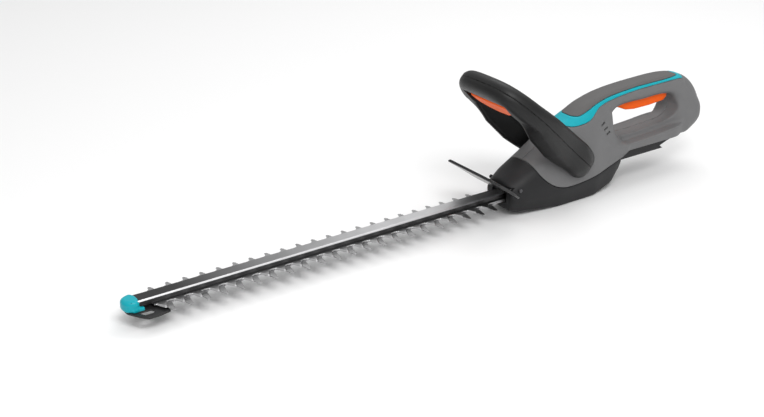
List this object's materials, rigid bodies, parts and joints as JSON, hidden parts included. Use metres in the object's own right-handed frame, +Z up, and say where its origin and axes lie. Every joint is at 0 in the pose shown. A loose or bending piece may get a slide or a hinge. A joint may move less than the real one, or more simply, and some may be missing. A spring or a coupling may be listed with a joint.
{
  "type": "hedge trimmer",
  "caption": "Long double-sided reciprocating blade on a beam, motor housing with closed rear grip and trigger, leaning loop front handle with switch bar, hand guard and tip plate.",
  "frame": {"origin": "flat underside of the lower cover, straight below the drive gear's axis", "axes": "+X back along the machine towards the operator (the blades point to -X), +Y the operator's left looking along the blades, +Z up"},
  "size_m": [0.901, 0.136, 0.2004],
  "materials": {
    "blade_steel": "ground, laser-cut",
    "beam_metal": "satin extruded",
    "plain_steel": "satin",
    "bearing_steel": "polished",
    "screw_steel": "zinc plated",
    "spring_steel": "drawn wire",
    "motor_steel": "plated",
    "cast_alloy": "as cast",
    "brass": "machined",
    "copper_core": "wound laminations",
    "magnet": "sintered",
    "board": "lacquered",
    "black_plastic": "fine texture",
    "dark_plastic": "fine texture",
    "grey_plastic": "fine texture",
    "soft_grip": "soft-touch",
    "soft_black": "soft-touch, grained",
    "gloss_black": "polished",
    "turquoise_plastic": "satin",
    "orange_plastic": "satin"
  },
  "bodies": {
    "trimmer": {"blade_beam": "beam_metal", "blade_sleeves": "plain_steel", "blade_washers": "plain_steel", "blade_bolts": "screw_steel", "tip_plate": "black_plastic", "tip_cap": "turquoise_plastic", "tip_screws": "screw_steel", "upper_bearing": "bearing_steel", "lower_bearing": "bearing_steel", "gear_plate": "plain_steel", "beam_screws": "screw_steel", "gear_case": "cast_alloy", "gear_case_screws": "screw_steel", "motor_can": "motor_steel", "motor_end_cap": "black_plastic", "motor_bushings": "brass", "motor_magnets": "magnet", "lower_cover": "dark_plastic", "cover_screws": "screw_steel", "housing_left": "grey_plastic", "housing_right": "grey_plastic", "housing_screws": "screw_steel", "grip_trim": "turquoise_plastic", "grip_pad": "soft_grip", "front_handle_front": "soft_black", "front_handle_rear": "soft_black", "handle_screws": "screw_steel", "handle_root_screws": "screw_steel", "lever_springs": "spring_steel", "front_switch": "black_plastic", "hand_guard": "gloss_black", "guard_screws": "screw_steel", "trigger_pin": "plain_steel", "trigger_spring": "spring_steel", "rear_switch": "black_plastic", "control_board": "board", "battery_rail": "dark_plastic", "battery_contacts": "brass"},
    "drive_train": {"gear_shaft": "plain_steel", "lower_cam": "plain_steel", "upper_cam": "plain_steel", "drive_gear": "plain_steel"},
    "rotor_train": {"motor_pinion": "brass", "motor_spindle": "plain_steel", "motor_rotor": "copper_core"},
    "upper_blade": {"upper_blade": "blade_steel"},
    "lower_blade": {"lower_blade": "blade_steel"},
    "rear_trigger": {"rear_trigger": "orange_plastic"},
    "rear_button": {"rear_switch_button": "orange_plastic"},
    "front_lever": {"front_lever": "orange_plastic"},
    "front_button": {"front_switch_button": "orange_plastic"}
  },
  "joints": [
    {"name": "gear_spin", "type": "hinge", "parent": "trimmer", "child": "drive_train", "pos_m": [0, 0, 0.0395], "axis": [0, 0, 1], "continuous": true},
    {"name": "rotor_spin", "type": "hinge", "parent": "trimmer", "child": "rotor_train", "pos_m": [0.0333, 0, 0.07], "axis": [0, 0, 1], "continuous": true},
    {"name": "upper_blade_slide", "type": "slide", "parent": "trimmer", "child": "upper_blade", "axis": [1, 0, 0], "range_m": [-0.00275, 0.00825]},
    {"name": "lower_blade_slide", "type": "slide", "parent": "trimmer", "child": "lower_blade", "axis": [1, 0, 0], "range_m": [-0.00825, 0.00275]},
    {"name": "rear_trigger_hinge", "type": "hinge", "parent": "trimmer", "child": "rear_trigger", "pos_m": [0.113, 0, 0.117], "axis": [0, -1, 0], "range_deg": [0, 5], "stiffness_Nm_per_rad": 4, "springref_deg": -6.88, "deforming": ["trigger_spring"]},
    {"name": "rear_button_slide", "type": "slide", "parent": "trimmer", "child": "rear_button", "axis": [0, 0, 1], "range_m": [0, 0.00345]},
    {"name": "front_lever_slide", "type": "slide", "parent": "trimmer", "child": "front_lever", "axis": [-0.7455, 0, 0.6665], "range_m": [0, 0.004], "stiffness_N_per_m": 600, "springref_m": -0.008, "deforming": ["lever_springs"]},
    {"name": "front_button_slide", "type": "slide", "parent": "trimmer", "child": "front_button", "axis": [-0.7455, 0, 0.6665], "range_m": [0, 0.004]}
  ],
  "couplings": [
    {"joint": "rotor_spin", "follows": "gear_spin", "ratio": -5.6},
    {"joint": "lower_blade_slide", "follows": "upper_blade_slide", "ratio": -1},
    {"joint": "rear_button_slide", "follows": "rear_trigger_hinge", "m_per_rad": 0.039},
    {"joint": "front_button_slide", "follows": "front_lever_slide", "ratio": 1}
  ]
}
